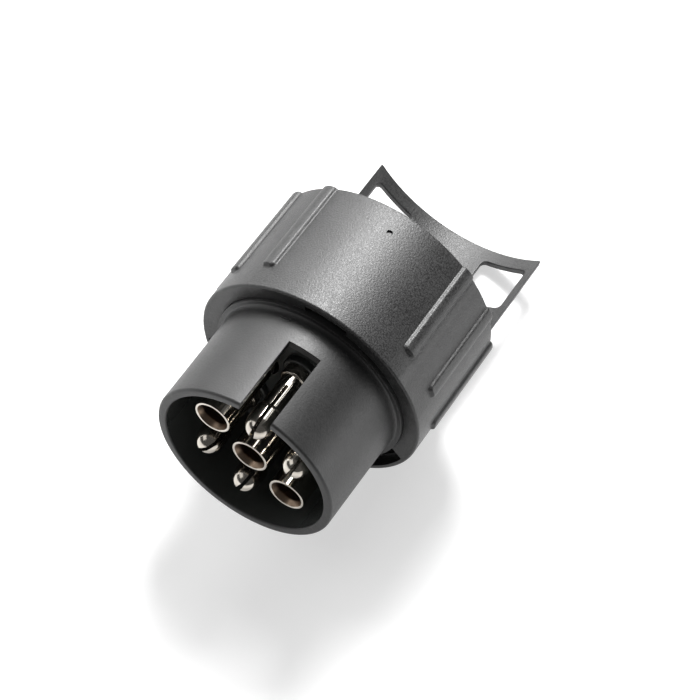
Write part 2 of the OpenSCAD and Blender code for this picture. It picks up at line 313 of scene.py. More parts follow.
def mouldedPolyamide(name, look):
    material = newMaterial(name)
    place = addNode(material, "ShaderNodeTexCoord").outputs["Object"]
    # real grain is near 0.1 mm; it is drawn coarser so that it shows
    grain = addNode(
        material, "ShaderNodeTexNoise",
        {"Scale": perMetre(look["grain"]), "Detail": 4, "Roughness": 0.62}, {"Vector": place},
    )
    # clouding from the melt flow, a few millimetres across, and the speckle of the grain
    flow = addNode(
        material, "ShaderNodeTexNoise",
        {"Scale": perMetre(look["cloud"]), "Detail": 3, "Roughness": 0.55}, {"Vector": place},
    )
    speckle = addNode(
        material, "ShaderNodeMapRange",
        {"From Min": 0.36, "From Max": 0.64, "To Min": -0.5, "To Max": 0.5},
        {"Value": grain.outputs[0]},
    )
    mottle = addNode(
        material, "ShaderNodeMath",
        {"operation": "MULTIPLY_ADD", 1: look["speckle"], "use_clamp": True},
        {0: speckle.outputs[0], 2: flow.outputs[0]},
    )
    body = addNode(
        material, "ShaderNodeMix",
        {"data_type": "RGBA", 6: hexColour(look["dark"]), 7: hexColour(look["light"])},
        {0: mottle.outputs[0]},
    )
    pits = addNode(
        material, "ShaderNodeTexVoronoi",
        {"Scale": perMetre(look["grain"] * 1.4), "Randomness": 1}, {"Vector": place},
    )
    # handling wear: proud edges go a little lighter
    edge = addNode(material, "ShaderNodeNewGeometry").outputs["Pointiness"]
    wear = addNode(
        material, "ShaderNodeMapRange",
        {"From Min": 0.515, "From Max": 0.6, "To Min": 0, "To Max": 0.55}, {"Value": edge},
    )
    colour = addNode(
        material, "ShaderNodeMix", {"data_type": "RGBA", 7: hexColour(look["worn"])},
        {0: wear.outputs[0], 6: body.outputs[2]},
    )
    rough = addNode(
        material, "ShaderNodeMapRange",
        {"From Min": 0.3, "From Max": 0.7, "To Min": look["rough"][0], "To Max": look["rough"][1]},
        {"Value": grain.outputs[0]},
    )
    height = addNode(
        material, "ShaderNodeMath", {"operation": "MULTIPLY_ADD", 1: 0.5},
        {0: pits.outputs["Distance"], 2: grain.outputs[0]},
    )
    bump = addNode(
        material, "ShaderNodeBump", {"Strength": 1, "Distance": look["depth"] * mm},
        {"Height": height.outputs[0]},
    )
    shader = addNode(
        material, "ShaderNodeBsdfPrincipled", {"IOR": 1.53},
        {
            "Base Color": colour.outputs[2], "Roughness": rough.outputs[0],
            "Normal": bump.outputs[0],
        },
    )
    return closeMaterial(material, shader)


# nickel-plated turned brass: a warm mirror, fine turning rings along each contact
nickel = {"bright": "#d0cbc3", "dull": "#aea79c", "rings": 0.3, "rough": (0.1, 0.2)}
# the plating thins out in a bore, so brown-grey brass tarnish shows there
boreTarnish = {"bright": "#93806e", "dull": "#6e5f52", "rings": 0.4, "rough": (0.26, 0.4)}


def turnedMetal(name, look):
    material = newMaterial(name)
    place = addNode(material, "ShaderNodeTexCoord").outputs["Object"]
    along = addNode(material, "ShaderNodeSeparateXYZ", links={"Vector": place}).outputs["Y"]
    rings = addNode(
        material, "ShaderNodeTexNoise",
        {"noise_dimensions": "1D", "Scale": perMetre(look["rings"]), "Detail": 3}, {"W": along},
    )
    haze = addNode(
        material, "ShaderNodeTexNoise", {"Scale": perMetre(1.8), "Detail": 4, "Roughness": 0.6},
        {"Vector": place},
    )
    colour = addNode(
        material, "ShaderNodeMix",
        {"data_type": "RGBA", 6: hexColour(look["bright"]), 7: hexColour(look["dull"])},
        {0: haze.outputs[0]},
    )
    rough = addNode(
        material, "ShaderNodeMapRange",
        {"From Min": 0.3, "From Max": 0.7, "To Min": look["rough"][0], "To Max": look["rough"][1]},
        {"Value": haze.outputs[0]},
    )
    bump = addNode(
        material, "ShaderNodeBump", {"Strength": 0.6, "Distance": 0.0035 * mm},
        {"Height": rings.outputs[0]},
    )
    shader = addNode(
        material, "ShaderNodeBsdfPrincipled", {"Metallic": 1},
        {
            "Base Color": colour.outputs[2], "Roughness": rough.outputs[0],
            "Normal": bump.outputs[0],
        },
    )
    return closeMaterial(material, shader)


# moulded EPDM rubber: matt, nearly black, with a faint bloom in patches
rubber = {"dark": "#111212", "bloom": "#1f2021", "grain": 0.3, "depth": 0.01}


def mouldedRubber(name, look):
    material = newMaterial(name)
    place = addNode(material, "ShaderNodeTexCoord").outputs["Object"]
    bloom = addNode(
        material, "ShaderNodeTexNoise", {"Scale": perMetre(3.5), "Detail": 4}, {"Vector": place}
    )
    colour = addNode(
        material, "ShaderNodeMix",
        {"data_type": "RGBA", 6: hexColour(look["dark"]), 7: hexColour(look["bloom"])},
        {0: bloom.outputs[0]},
    )
    grain = addNode(
        material, "ShaderNodeTexNoise", {"Scale": perMetre(look["grain"]), "Detail": 3},
        {"Vector": place},
    )
    rough = addNode(
        material, "ShaderNodeMapRange",
        {"From Min": 0.3, "From Max": 0.7, "To Min": 0.66, "To Max": 0.84},
        {"Value": grain.outputs[0]},
    )
    bump = addNode(
        material, "ShaderNodeBump", {"Strength": 0.8, "Distance": look["depth"] * mm},
        {"Height": grain.outputs[0]},
    )
    shader = addNode(
        material, "ShaderNodeBsdfPrincipled", {"IOR": 1.52},
        {
            "Base Color": colour.outputs[2], "Roughness": rough.outputs[0],
            "Normal": bump.outputs[0],
        },
    )
    return closeMaterial(material, shader)


# glass-epoxy board under green solder resist: glossy, with the cloth's weave just showing
epoxyBoard = {"resist": "#1f5233", "thread": "#2d6a44", "weave": 0.5}


def lacqueredBoard(name, look):
    material = newMaterial(name)
    place = addNode(material, "ShaderNodeTexCoord").outputs["Object"]
    warp = addNode(
        material, "ShaderNodeTexWave",
        {"bands_direction": "X", "Scale": perMetre(look["weave"] * 6.3), "Distortion": 0.4},
        {"Vector": place},
    )
    weft = addNode(
        material, "ShaderNodeTexWave",
        {"bands_direction": "Z", "Scale": perMetre(look["weave"] * 6.3), "Distortion": 0.4},
        {"Vector": place},
    )
    cloth = addNode(
        material, "ShaderNodeMath", {"operation": "MULTIPLY"},
        {0: warp.outputs["Fac"], 1: weft.outputs["Fac"]},
    )
    colour = addNode(
        material, "ShaderNodeMix",
        {"data_type": "RGBA", 6: hexColour(look["resist"]), 7: hexColour(look["thread"])},
        {0: cloth.outputs[0]},
    )
    bump = addNode(
        material, "ShaderNodeBump", {"Strength": 0.5, "Distance": 0.008 * mm},
        {"Height": cloth.outputs[0]},
    )
    shader = addNode(
        material, "ShaderNodeBsdfPrincipled", {"IOR": 1.55, "Roughness": 0.24},
        {"Base Color": colour.outputs[2], "Normal": bump.outputs[0]},
    )
    return closeMaterial(material, shader)


# zinc-plated steel: cool, slightly milky, with a fine speckle
zinc = {"bright": "#c9ced4", "dull": "#9ba1a8"}


def zincSteel(name, look):
    material = newMaterial(name)
    place = addNode(material, "ShaderNodeTexCoord").outputs["Object"]
    spangle = addNode(
        material, "ShaderNodeTexNoise", {"Scale": perMetre(0.5), "Detail": 5, "Roughness": 0.65},
        {"Vector": place},
    )
    colour = addNode(
        material, "ShaderNodeMix",
        {"data_type": "RGBA", 6: hexColour(look["bright"]), 7: hexColour(look["dull"])},
        {0: spangle.outputs[0]},
    )
    rough = addNode(
        material, "ShaderNodeMapRange",
        {"From Min": 0.3, "From Max": 0.7, "To Min": 0.24, "To Max": 0.42},
        {"Value": spangle.outputs[0]},
    )
    bump = addNode(
        material, "ShaderNodeBump", {"Strength": 0.4, "Distance": 0.004 * mm},
        {"Height": spangle.outputs[0]},
    )
    shader = addNode(
        material, "ShaderNodeBsdfPrincipled", {"Metallic": 1},
        {
            "Base Color": colour.outputs[2], "Roughness": rough.outputs[0],
            "Normal": bump.outputs[0],
        },
    )
    return closeMaterial(material, shader)


drumPlastic = mouldedPolyamide("grainedPolyamide", polyamide["drum"])
neckPlastic = mouldedPolyamide("satinPolyamide", polyamide["neck"])
# the well's material carries painted fill light: its colour is lifted to stand in for light the
# recess does not get
wellPlasticPaintedFill = mouldedPolyamide("polishedPolyamidePaintedFill", polyamide["well"])
insertPlastic = mouldedPolyamide("smoothPolyamide", polyamide["insert"])
nickelPlate = turnedMetal("nickelPlatedBrass", nickel)
boreMetal = turnedMetal("tarnishedBore", boreTarnish)
rubberBlack = mouldedRubber("epdmRubber", rubber)
boardGreen = lacqueredBoard("lacqueredGlassEpoxy", epoxyBoard)
screwZinc = zincSteel("zincPlatedSteel", zinc)
print("materials made")


# plug shell: keyed neck, contact floor and the skirt inside the drum

plugShell = {
    "outer": mountRadius["plug_neck"],
    "wall": 1.7,
    "mouthOutside": 0.5,
    "mouthInside": 0.3,
    "collar": 17.95,
    "flare": (-1.3, -0.22),  # a hollow fillet up to the collar's thin edge
    "rows": (-18, -15, -12, -9, -7, -6, -5.6, -5.2, -4.6, -3.8, -2.8, -2),
    "floor": (-4.2, 2),
    "keyHalf": 3.05,
    "keyEnd": -5.4,
    "edge": 0.22,
    "pinCollar": (3.3, 1.25),
    "tick": (-24, -17.5, -1.75, -1.45),  # its two angles and its two ends
    "tickRise": 0.24,
    "boss": (2.3, 7.4),  # radius and rear end
    "pilot": (1.02, 3, 8),  # radius, start and end of each screw's hole
    "seatGap": 0.05,  # round each contact
}
pinNodes = [f"split_pin_{k}" for k in range(1, 5)]
tubeNodes = [f"tube_contact_{k}" for k in range(1, 4)]
pinLow, pinHigh = nodeBox("split_pin_1")
tubeLow, tubeHigh = nodeBox("tube_contact_1")
pinRadius, tubeRadius = mountRadius["split_pin_head"], tubeHigh.x


def makePlugShell(look):
    outer, inner = look["outer"], look["outer"] - look["wall"]
    mouth, skirtEnd = plugLow.y, plugHigh.y
    floorFront, floorBack = look["floor"]
    seat = plugHigh.x
    flareStart, flareEnd = look["flare"]
    flare = [
        (
            outer + (look["collar"] - outer) * (1 - math.cos(a)),
            flareStart + (flareEnd - flareStart) * math.sin(a), 0,
        )
        for a in evenAngles(10, 0, 90)
    ]
    profile = softened(
        [
            (inner, mouth, look["mouthInside"]), (outer, mouth, look["mouthOutside"]),
            *[(outer, y, 0) for y in look["rows"]], *flare, (seat - 0.02, flareEnd, 0.07),
            (seat - 0.02, -0.02, 0), (seat, 0, 0), (seat, 1, 0), (outer, 1, 0),
            (outer, skirtEnd, 0.25), (inner, skirtEnd, 0.25), (inner, floorBack, 0.4),
            (0, floorBack, 0), (0, floorFront, 0), (inner, floorFront, 0.6),
        ]
    )
    bm = bmesh.new()
    turnProfile(bm, profile, evenAngles(256))
    shell = meshPiece("plugShell", bm)

    # raised collars round the split pins, screw bosses behind the floor, the moulded tick
    bm = bmesh.new()
    collarRadius, collarLength = look["pinCollar"]
    for node in pinNodes:
        collar = softened(
            [
                (0, floorFront + 1, 0), (collarRadius, floorFront + 1, 0),
                (collarRadius, floorFront - collarLength, 0.35), (0, floorFront - collarLength, 0),
            ]
        )
        turnProfile(bm, collar, evenAngles(64), nodeAxis(node))
    bossRadius, bossEnd = look["boss"]
    for side in (-1, 1):
        boss = softened([(0, floorBack - 1, 0), (bossRadius, floorBack - 1, 0),
                         (bossRadius, bossEnd, 0.2), (0, bossEnd, 0)])
        turnProfile(bm, boss, evenAngles(40), (side * screwAt, 0))
    startAngle, endAngle, tickFront, tickBack = look["tick"]
    tickTop = outer + look["tickRise"]
    tick = softened([(outer - 1, tickFront, 0), (tickTop, tickFront, 0.1),
                     (tickTop, tickBack, 0.1), (outer - 1, tickBack, 0)])
    turnProfile(bm, tick, evenAngles(12, startAngle, endAngle), wholeTurn=False)
    combine(shell, meshPiece("bosses", bm), "UNION")

    # keyway with eased edges, contact seats and screw holes
    bm = bmesh.new()
    half, edge = look["keyHalf"], look["edge"]
    outsideZ = math.sqrt(outer ** 2 - half ** 2)
    insideZ = math.sqrt(inner ** 2 - half ** 2)
    right = [(half, insideZ + edge * 0.6)]
    right += [
        (half + edge * (1 - math.cos(a)), outsideZ - edge + edge * math.sin(a))
        for a in evenAngles(5, 0, 90)
    ]
    right.append((half + edge, outsideZ + 3))
    right = [(half + edge * 0.6, insideZ - 1), (half + edge * 0.6, insideZ)] + right
    outline = right + [(-x, z) for x, z in reversed(right)]
    prismInto(bm, outline, mouth - 1, look["keyEnd"], lambda x, z, y: (x, y, z))
    seats = [(node, pinRadius, floorFront - collarLength - 1) for node in pinNodes]
    seats += [(node, tubeRadius, floorFront - 1) for node in tubeNodes]
    for node, radius, start in seats:
        hole = radius + look["seatGap"]
        seatCut = [(0, start), (hole, start), (hole, floorBack + 1), (0, floorBack + 1)]
        turnProfile(bm, seatCut, evenAngles(64), nodeAxis(node))
    radius, start, end = look["pilot"]
    for side in (-1, 1):
        pilot = [(0, start), (radius, start), (radius, end), (0, end)]
        turnProfile(bm, pilot, evenAngles(32), (side * screwAt, 0))
    combine(shell, meshPiece("keyAndSeats", bm), "DIFFERENCE")
    finishPiece(shell, neckPlastic, ["plug_shell"])
    # the well round the contacts is moulded against a polished core; its colour is painted far
    # lighter than the black plastic really is, a painted fill light in the shaded well, with only
    # its faint green tint its own
    shell.data.materials.append(wellPlasticPaintedFill)
    for polygon in shell.data.polygons:
        centre = (polygon.center - drumFront) / mm
        inWell = mouth + look["mouthInside"] < centre.y < floorFront + 0.6
        if math.hypot(centre.x, centre.z) < inner + 0.1 and inWell:
            polygon.material_index = 1


makePlugShell(plugShell)


# drum with its grip ribs and the rear guard, one moulding

drumShell = {
    "front": 22.0,
    "draft": 0.4,
    "length": 24.8,
    "bore": 20.8,
    "edge": 0.42,
    "rearEdge": 0.28,
    "frontWall": 2,
    "seat": (18.75, 1.05),
    "hole": 17.6,
    "ledge": (8, 9.6, 17.7),
    "ribs": [side * (40 + 25 * k) for side in (-1, 1) for k in range(5)],
    "ribHeight": 0.7,
    "ribHalf": 1.5,
    "ribCrown": 3.4,  # radius of the low crown on each rib
    "ribFlank": 2.1,  # rise per millimetre of the rib's side
    "ribStart": 4.75,
    "ribCorner": 0.9,
    "ribRows": (17, 0.3),  # columns each side of a rib's middle, and degrees between them
    "plainRows": (144, 2.5, 6.2),  # columns round the drum, degrees, clear of each rib
    "openings": ((109, 251, 21.2), (-12, 12, 20.3)),
    "openingInner": 18.3,
    "gate": (20.1, 0.55, 0.42),
    "boreKey": (1.75, 18.8, 14.25, 23.8),
}


def softLower(a, b, blend):
    return min(a, b) - max(blend - abs(a - b), 0) ** 2 / (4 * blend)


def ribRise(look, y, angle):
    # height of the grip ribs over the drum: crowned, steep-sided, with round-cornered noses
    rise = 0
    half, corner = look["ribHalf"], look["ribCorner"]
    for centre in look["ribs"]:
        offset = (angle - math.radians(centre) + math.pi) % (2 * math.pi) - math.pi
        across = offset * look["front"]
        if abs(across) > 3:
            continue
        sideways, forwards = abs(across) - (half - corner), look["ribStart"] + corner - y
        outside = math.hypot(max(sideways, 0), max(forwards, 0)) + min(max(sideways, forwards), 0)
        flank = (corner - outside) * look["ribFlank"]
        crown = look["ribHeight"] - across ** 2 / (2 * look["ribCrown"])
        rise = max(rise, -softLower(0, -softLower(flank, crown, 0.35), 0.25))
    return rise


def drumAngles(look):
    angles = set()
    reach, step = look["ribRows"]
    for centre in look["ribs"]:
        for k in range(-reach, reach + 1):
            angles.add(round(centre + k * step, 4) % 360)
    count, step, clear = look["plainRows"]
    for k in range(count):
        plain = k * step
        if min(abs((plain - a + 180) % 360 - 180) for a in look["ribs"]) > clear:
            angles.add(plain)
    return [math.radians(a) for a in sorted(angles)]


def makeDrum(look):
    rear, bore = look["length"], look["bore"]
    outside = [
        (look["front"], y)
        for y in (
            4.2, 4.6, 4.75, 4.79, 4.84, 4.92, 5.02, 5.15, 5.32, 5.5, 5.65, 6, 7.5, 10, 12.5, 15,
            17.5, 20, 22, 23.4, 24.1,
        )
    ]
    frontEdge = [
        (look["front"] - look["edge"] * (1 - math.sin(a)), look["edge"] * (1 - math.cos(a)))
        for a in evenAngles(9, 0, 90)
    ]
    rearEdge = [
        (
            look["front"] - look["rearEdge"] * (1 - math.cos(a)),
            rear - look["rearEdge"] * (1 - math.sin(a)),
        )
        for a in evenAngles(5, 0, 90)
    ]
    seat, seatDepth = look["seat"]
    ledgeFront, ledgeBack, ledgeRadius = look["ledge"]
    inside = softened(
        [
            (bore, rear, 0.2), (bore, ledgeBack, 0.2), (ledgeRadius, ledgeBack, 0.1),
            (ledgeRadius, ledgeFront, 0.1), (bore, ledgeFront, 0), (bore, look["frontWall"], 0.3),
            (look["hole"], look["frontWall"], 0), (look["hole"], seatDepth, 0),
            (seat, seatDepth, 0), (seat, 0, 0.03),
        ],
        4,
    )
    profile = frontEdge + outside + rearEdge + inside

    def radiusAt(radius, y, angle):
        if radius < look["front"] - look["edge"] - 0.01:
            return radius
        return radius - look["draft"] / 2 * y / rear + ribRise(look, y, angle)

    bm = bmesh.new()
    turnProfile(bm, profile, drumAngles(look), radiusAt=radiusAt)
    drum = meshPiece("drumShell", bm)

    # openings in the front wall round the neck, and the gate dimple
    bm = bmesh.new()
    for start, end, reach in look["openings"]:
        opening = [(look["openingInner"], -1), (reach, -1), (reach, look["frontWall"] + 0.5),
                   (look["openingInner"], look["frontWall"] + 0.5)]
        turnProfile(bm, opening, evenAngles(int((end - start) / 2.5), start, end), wholeTurn=False)
    gateY, gateRadius, gateDepth = look["gate"]
    top = look["front"] - look["draft"] / 2 * gateY / rear
    cup = [
        bm.verts.new(
            (gateRadius * r * math.sin(a), gateY + gateRadius * r * math.cos(a), top + dz)
        )
        for r, dz in ((1.2, 0.3), (1, -0.02), (0.8, -gateDepth))
        for a in evenAngles(24)
    ]
    for ring in range(2):
        for k in range(24):
            n = (k + 1) % 24
            bm.faces.new(
                (
                    cup[ring * 24 + k], cup[ring * 24 + n], cup[ring * 24 + 24 + n],
                    cup[ring * 24 + 24 + k],
                )
            )
    bm.faces.new(cup[:24])
    bm.faces.new(list(reversed(cup[48:])))
    combine(drum, meshPiece("frontCuts", bm), "DIFFERENCE")
    combine(drum, makeGuard(rearGuard, look), "UNION")
    combine(drum, makeRamp(rearGuard, look), "UNION")
    halfWidth, keyTop, keyFront, keyBack = look["boreKey"]
    bm = bmesh.new()
    key = softened(
        [
            (-halfWidth, keyFront, 0.3), (halfWidth, keyFront, 0.3), (halfWidth, keyBack, 0.5),
            (-halfWidth, keyBack, 0.5),
        ]
    )
    prismInto(bm, key, -bore - 0.6, -keyTop, lambda x, y, z: (x, y, z))
    combine(drum, meshPiece("boreKey", bm), "UNION")
    finishPiece(drum, drumPlastic, ["drum_shell"])


rearGuard = {
    "inner": 24.7,
    "wall": 1.3,
    "halfWidth": 17.5,
    "end": 56.9,
    "tip": 0.45,
    "windowX": (7.8, 16.15),
    "windowY": (44.05, 54.05),
    "windowCorner": 0.9,
    "edge": 0.24,
    "strips": 56,
    "ramp": (14.8, 21.8),
    "rampSink": 0.12,  # how far its start lies under the drum's skin
    "rampBlend": (0.72, 0.28),  # straight and eased shares of its rise
    "rampEdge": (0.16, 0.3),  # drop and width of its eased side edges
}


def slabWithWindows(name, outlines, thickness, edge):
    # a flat plate with eased edges, lying in XY from z = 0 up to its thickness
    curve = bpy.data.curves.new(name, "CURVE")
    curve.dimensions, curve.fill_mode = "2D", "BOTH"
    curve.extrude, curve.bevel_depth, curve.bevel_resolution = thickness / 2 - edge, edge, 2
    curve.offset = -edge
    for outline in outlines:
        spline = curve.splines.new("POLY")
        spline.points.add(len(outline) - 1)
        for point, (x, y) in zip(spline.points, outline):
            point.co = (x, y, 0, 1)
        spline.use_cyclic_u = True
    holder = bpy.data.objects.new(name, curve)
    bpy.context.scene.collection.objects.link(holder)
    graph = bpy.context.evaluated_depsgraph_get()
    mesh = bpy.data.meshes.new_from_object(holder.evaluated_get(graph))
    bm = bmesh.new()
    bm.from_mesh(mesh)
    bmesh.ops.remove_doubles(bm, verts=bm.verts, dist=0.001)
    bpy.data.objects.remove(holder)
    bpy.data.curves.remove(curve)
    bpy.data.meshes.remove(mesh)
    for vert in bm.verts:
        vert.co.z += thickness / 2
    return bm


def makeGuard(look, drumLook):
    half, end = look["halfWidth"], look["end"]
    start = drumLook["length"] - 2
    outlines = [
        softened(
            [
                (-half, start, 0), (half, start, 0), (half, end, look["tip"]),
                (-half, end, look["tip"]),
            ]
        )
    ]
    (near, far), (front, back) = look["windowX"], look["windowY"]
    for side in (-1, 1):
        outlines.append(softened([
            (side * near, front, look["windowCorner"]), (side * far, front, look["windowCorner"]),
            (side * far, back, look["windowCorner"]), (side * near, back, look["windowCorner"]),
        ]))
    bm = slabWithWindows("guardPlate", outlines, look["wall"], look["edge"])
    # cut into narrow strips so that the plate can be rolled
    strips = look["strips"]
    for k in range(1, strips):
        x = -half + 2 * half * k / strips
        bmesh.ops.bisect_plane(bm, geom=bm.verts[:] + bm.edges[:] + bm.faces[:], dist=1e-5,
                               plane_co=(x, 0, 0), plane_no=(1, 0, 0))
    for vert in bm.verts:
        reach = look["inner"] + vert.co.z
        vert.co.z = -math.sqrt(reach ** 2 - vert.co.x ** 2)
    return meshPiece("guardPlate", bm)


def makeRamp(look, drumLook):
    # the thickened foot of the guard, growing out of the drum's underside
    inner, outer = drumLook["bore"] + 0.6, look["inner"] + look["wall"]
    rear, (start, end) = drumLook["length"], look["ramp"]
    foot = drumLook["front"] - drumLook["draft"] / 2 * start / rear - look["rampSink"]
    straight, eased = look["rampBlend"]
    drop, edgeWidth = look["rampEdge"]
    profile = [(inner, start), (foot, start)]
    for k in range(1, 13):
        t = k / 12
        rise = t * straight + eased * t * t * (3 - 2 * t)
        profile.append((foot + (outer - foot) * rise, start + (end - start) * t))
    profile += [
        (outer, rear), (outer, rear + 0.01), (look["inner"] + 0.3, rear + 0.01),
        (look["inner"] + 0.3, rear), (inner, rear),
    ]
    half = look["halfWidth"]
    columns = [-half, -half + 0.06] + [
        -half + 0.3 + (2 * half - 0.6) * k / 60 for k in range(61)
    ] + [half - 0.06, half]
    bm = bmesh.new()
    rows = []
    for x in columns:
        shy = drop * max(0, 1 - (half - abs(x)) / edgeWidth)
        reaches = [(r - (shy if r > inner else 0), y) for r, y in profile]
        rows.append([bm.verts.new((x, y, -math.sqrt(r ** 2 - x ** 2))) for r, y in reaches])
    for k in range(len(rows) - 1):
        for i in range(len(profile)):
            n = (i + 1) % len(profile)
            bm.faces.new((rows[k][i], rows[k][n], rows[k + 1][n], rows[k + 1][i]))
    bm.faces.new(rows[0])
    bm.faces.new(list(reversed(rows[-1])))
    return meshPiece("guardFoot", bm)


makeDrum(drumShell)


# plug contacts: split pins and tubes, turned and nickel-plated

splitPin = {
    "radius": pinRadius,
    "shank": 2.05,
    "nose": 2.9,
    "head": 5.9,
    "shoulder": -7.4,
    "slitHalf": 0.325,
    "slit": 10.7,
    "slitMouth": (0.12, 0.25),  # how much wider and how long its eased mouth is
    # degrees from upright
    "slitTurn": {"split_pin_1": 0, "split_pin_2": 12, "split_pin_3": 19, "split_pin_4": 41},
    "flange": 3.4,
}
plugTail = {"flange": (2, 3), "post": (1.9, 7.5), "pin": 1.1}


def contactTail(look, reach):
    # flange behind the floor, post up to the board and a solder tail
    front, back = look["flange"]
    post, postEnd = look["post"]
    pin, end = look["pin"], pinHigh.y
    return [
        (reach, front, 0.1), (reach, back, 0.15), (post, back, 0), (post, postEnd, 0.1),
        (pin, postEnd, 0), (pin, end, 0.3), (0, end, 0),
    ]


def makeSplitPin(node, look):
    tip = pinLow.y
    nose = [
        (look["radius"] * math.sin(a) ** 0.95, tip + look["nose"] * (1 - math.cos(a)))
        for a in evenAngles(14, 0, 90)
    ]
    nose[0] = (0, tip)
    body = softened(
        [
            (0, tip + 2, 0), (look["radius"], tip + look["nose"], 0),
            (look["radius"], tip + look["head"] - 0.6, 0.8),
            (look["shank"], tip + look["head"], 0.8), (look["shank"], look["shoulder"], 0.15),
            (look["radius"], look["shoulder"], 0.25), (look["radius"], plugTail["flange"][0], 0),
            *contactTail(plugTail, look["flange"]),
        ],
        4,
    )
    profile = nose + body[2:]
    bm = bmesh.new()
    turnProfile(bm, profile, evenAngles(72), nodeAxis(node))
    pin = meshPiece("splitPin" + node[-1], bm)
    x, z = nodeAxis(node)
    half, reach = look["slitHalf"], tip + look["slit"]
    bm = bmesh.new()
    # the slit ends in the round left by the saw, and its mouth is eased
    wider, ease = look["slitMouth"]
    outline = [(half + wider, tip - 1), (half + wider, tip), (half, tip + ease)]
    outline += [
        (half * math.cos(a), reach - half + half * math.sin(a)) for a in evenAngles(8, 0, 180)
    ]
    outline += [(-half, tip + ease), (-half - wider, tip), (-half - wider, tip - 1)]
    turn = math.radians(look["slitTurn"][node])
    prismInto(
        bm, outline, -4, 4, lambda a, y,
        height: (
            x + a * math.cos(turn) + height * math.sin(turn), y,
            z - a * math.sin(turn) + height * math.cos(turn),
        ),
    )
    combine(pin, meshPiece("slit", bm), "DIFFERENCE")
    finishPiece(pin, nickelPlate, [node], 38)


tubeContact = {
    "radius": 3.45,
    "bore": 2.5,
    "boreEnd": -3,
    "drillTip": 0.9,
    "mouth": (3.02, 1.1),
    "lip": 0.14,
    "flange": 4.2,
}


def makeTube(node, look):
    tip = tubeLow.y
    mouthRadius, mouthDepth = look["mouth"]
    profile = softened([
        (0, look["boreEnd"] + look["drillTip"], 0), (look["bore"], look["boreEnd"], 0.2),
        (look["bore"], tip + mouthDepth, 0.6), (mouthRadius, tip, look["lip"]),
        (look["radius"], tip, look["lip"]), (look["radius"], plugTail["flange"][0], 0),
        *contactTail(plugTail, look["flange"]),
    ], 4)
    bm = bmesh.new()
    turnProfile(bm, profile, evenAngles(96), nodeAxis(node))
    tube = meshPiece("tubeContact" + node[-1], bm)
    finishPiece(tube, nickelPlate, [node], 38)
    tube.data.materials.append(boreMetal)
    x, z = nodeAxis(node)
    for polygon in tube.data.polygons:
        centre = (polygon.center - drumFront) / mm
        away = math.hypot(centre.x - x, centre.z - z)
        if away < mouthRadius - 0.03 and tip + 0.12 < centre.y < look["boreEnd"] + 1.2:
            polygon.material_index = 1


for node in pinNodes:
    makeSplitPin(node, splitPin)
for node in tubeNodes:
    makeTube(node, tubeContact)


# thirteen-pole socket at the rear: flange, block, contacts, gasket and screws

socketNodes = [f"socket_contact_{k:02d}" for k in range(1, 14)]
flangeLow, flangeHigh = nodeBox("insert_flange")
blockLow, blockHigh = nodeBox("contact_block")
contactLow, contactHigh = nodeBox("socket_contact_01")
screwSeat = screwHigh.y - screwHead["length"]
insertFlange = {"recess": (15.2, 1.2), "seat": 2.1, "screwHole": 1.1}
contactBlock = {
    "seat": 2.1, "hole": 1.5, "face": 1, "flare": 0.35, "channel": 2.2, "screwHole": 1.1
}


def flaredHole(radius, bottom, face, flare):
    # a round cutter whose mouth opens out, so the hole's edge is eased
    arc = [
        (radius + flare * (1 - math.cos(a)), face - flare * (1 - math.sin(a)))
        for a in evenAngles(5, 0, 90)
    ]
    return [(0, bottom), (radius, bottom)] + arc + [(radius + flare, face + 1), (0, face + 1)]


def makeInsertFlange(look):
    recess, recessDepth = look["recess"]
    front, back, reach = flangeLow.y, flangeHigh.y, flangeHigh.x
    bm = bmesh.new()
    turnProfile(bm, softened([
        (0, back, 0), (reach, back, 0.25), (reach, front, 0.2), (recess, front, 0.1),
        (recess, front + recessDepth, 0.1), (0, front + recessDepth, 0),
    ]), evenAngles(160))
    flange = meshPiece("insertFlange", bm)
    bm = bmesh.new()
    for node in socketNodes:
        turnProfile(
            bm,
            [(0, front - 1), (look["seat"], front - 1), (look["seat"], back + 1), (0, back + 1)],
            evenAngles(48), nodeAxis(node),
        )
    for side in (-1, 1):
        hole = look["screwHole"]
        turnProfile(
            bm, [(0, front - 1), (hole, front - 1), (hole, back + 1), (0, back + 1)],
            evenAngles(32), (side * screwAt, 0),
        )
    combine(flange, meshPiece("flangeHoles", bm), "DIFFERENCE")
    finishPiece(flange, insertPlastic, ["insert_flange"])


def makeContactBlock(look):
    front, face, reach = blockLow.y, blockHigh.y, blockHigh.x
    bm = bmesh.new()
    turnProfile(
        bm, softened([(0, face, 0), (reach, face, 0.6), (reach, front, 0.1), (0, front, 0)], 7),
        evenAngles(192),
    )
    block = meshPiece("contactBlock", bm)
    bm = bmesh.new()
    for node in socketNodes:
        cutter = [(0, front - 1), (look["seat"], front - 1), (look["seat"], face - look["face"])]
        cutter += flaredHole(look["hole"], face - look["face"], face, look["flare"])[1:]
        turnProfile(bm, cutter, evenAngles(48), nodeAxis(node))
    for side in (-1, 1):
        cutter = [(0, front - 1), (look["screwHole"], front - 1), (look["screwHole"], screwSeat)]
        cutter += flaredHole(look["channel"], screwSeat, face, look["flare"])[1:]
        turnProfile(bm, cutter, evenAngles(48), (side * screwAt, 0))
    combine(block, meshPiece("blockHoles", bm), "DIFFERENCE")
    finishPiece(block, insertPlastic, ["contact_block"])


socketContact = {"radius": 2.05, "bore": 1.25, "boreDepth": (7.4, 8), "tail": (0.65, 1.75)}


